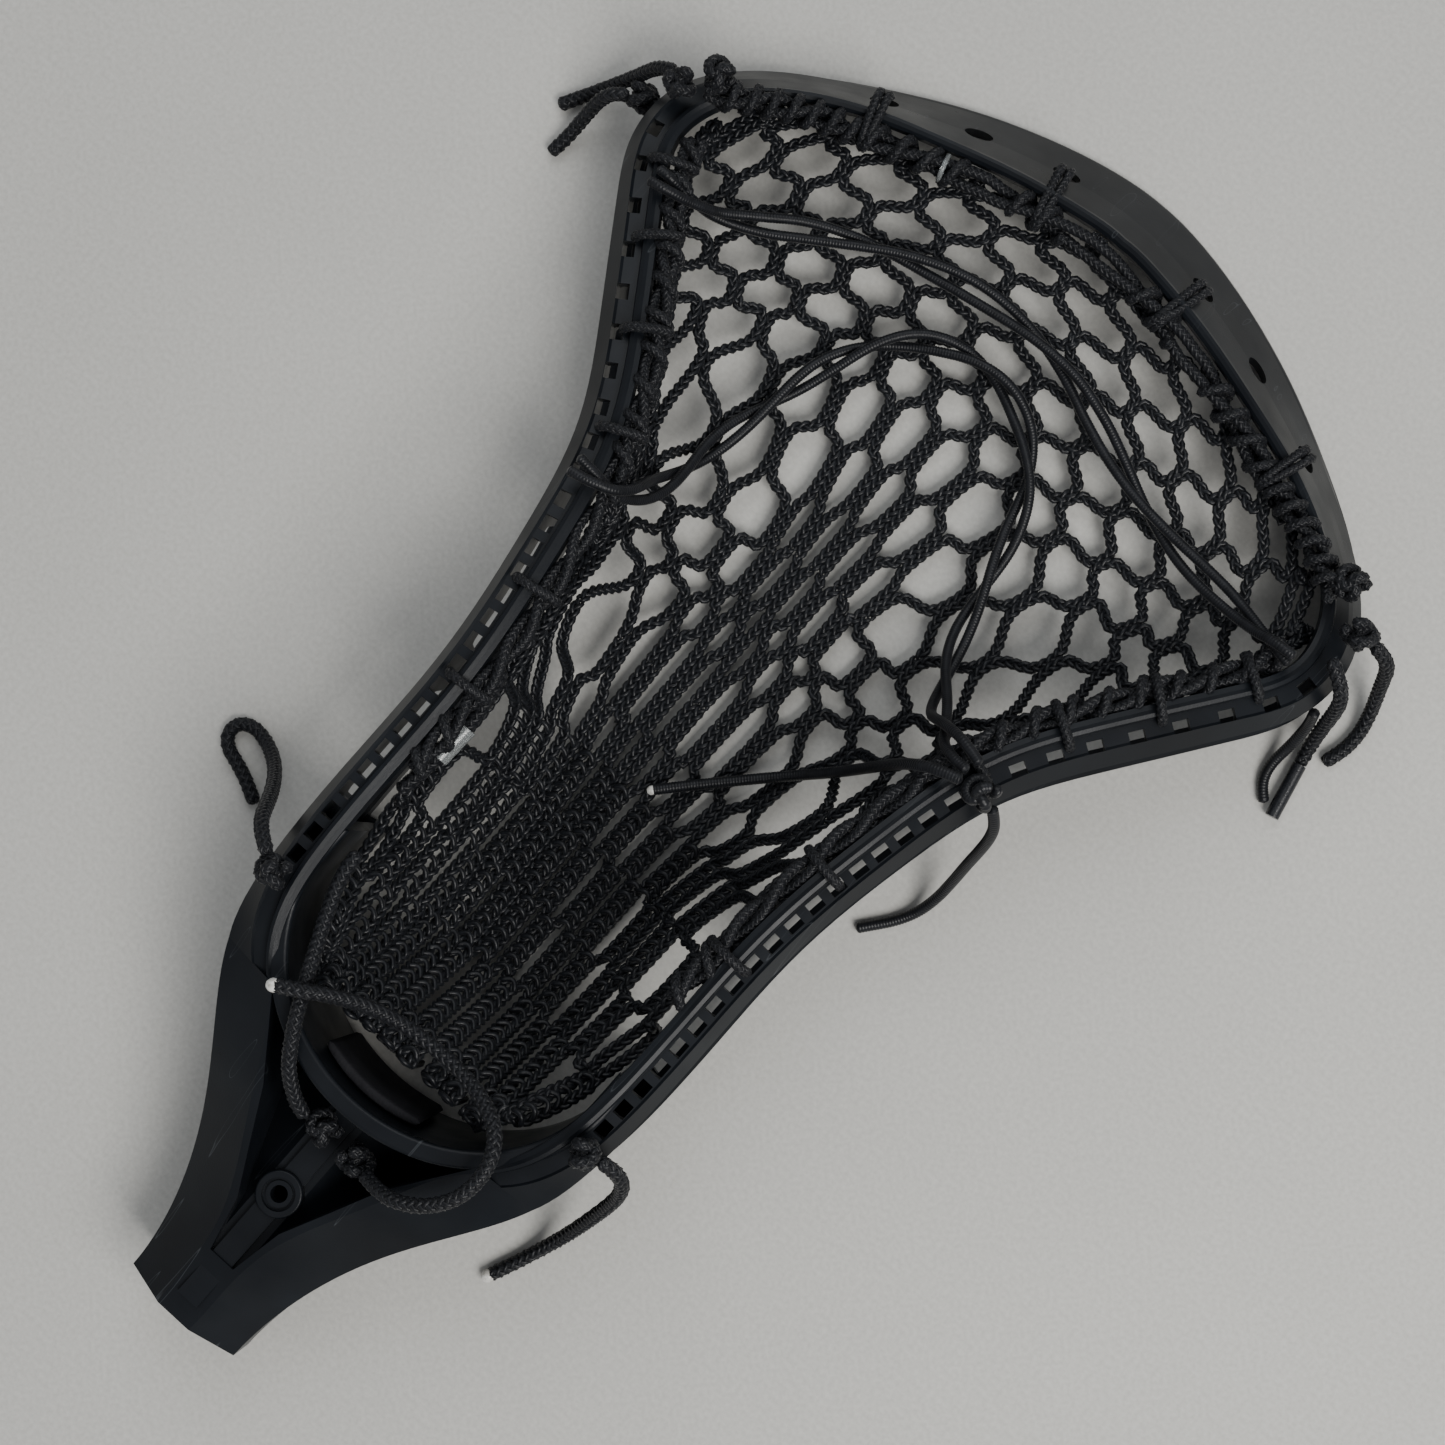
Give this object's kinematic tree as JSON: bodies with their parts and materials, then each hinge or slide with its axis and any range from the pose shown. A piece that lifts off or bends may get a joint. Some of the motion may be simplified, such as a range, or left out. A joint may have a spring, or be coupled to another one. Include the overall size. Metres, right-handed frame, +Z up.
{
  "type": "lacrosse head",
  "caption": "Strung field lacrosse head lying face down: moulded frame with scoop, sidewalls and shaft sleeve, a braided net pocket, shooting strings and tied laces with loose tails.",
  "frame": {"origin": "under the middle of the frame's length and width, on the surface that the head lies on face down", "axes": "+Y from the shaft sleeve to the scoop, +X to the right seen from the back, +Z up out of the back"},
  "size_m": [0.2321, 0.3251, 0.0572],
  "materials": {
    "moulded_nylon": "satin, fine moulded grain, faint scratches",
    "stop_foam": "soft matte foam",
    "net_cord": "braided cord, slightly glossy",
    "lace_braid": "braided cord, matte",
    "shooting_lace": "twisted smooth nylon, soft sheen",
    "tip_plastic": "heat-shrunk, glossy",
    "clear_plastic": "clear, glossy"
  },
  "bodies": {
    "root": {"screw_boss": "moulded_nylon", "ball_stop": "moulded_nylon", "throat": "moulded_nylon", "right_sidewall": "moulded_nylon", "left_sidewall": "moulded_nylon", "scoop": "moulded_nylon", "ball_stop_pad": "stop_foam", "mesh_pocket": "net_cord", "top_string": "lace_braid", "right_sidewall_string": "lace_braid", "left_sidewall_string": "lace_braid", "bottom_string": "lace_braid", "upper_shooting_string": "shooting_lace", "lower_shooting_string": "shooting_lace", "top_left_outer_tail": "lace_braid", "top_left_inner_tail": "lace_braid", "top_right_loop_tail": "lace_braid", "top_right_tip_tail": "lace_braid", "top_right_shooting_tail": "shooting_lace", "shooting_outer_tail": "shooting_lace", "shooting_inner_tail": "shooting_lace", "bottom_right_tail": "lace_braid", "bottom_left_tail": "lace_braid", "bottom_string_tail": "lace_braid", "left_sidewall_tail": "lace_braid", "lace_tip": "tip_plastic", "label_sleeve": "clear_plastic", "clear_ring": "clear_plastic", "top_left_knots": "lace_braid", "top_right_knots": "lace_braid", "bottom_left_knot": "lace_braid", "bottom_right_knot": "lace_braid", "shooting_knot": "shooting_lace", "ball_stop_knots": "lace_braid"}
  },
  "joints": []
}
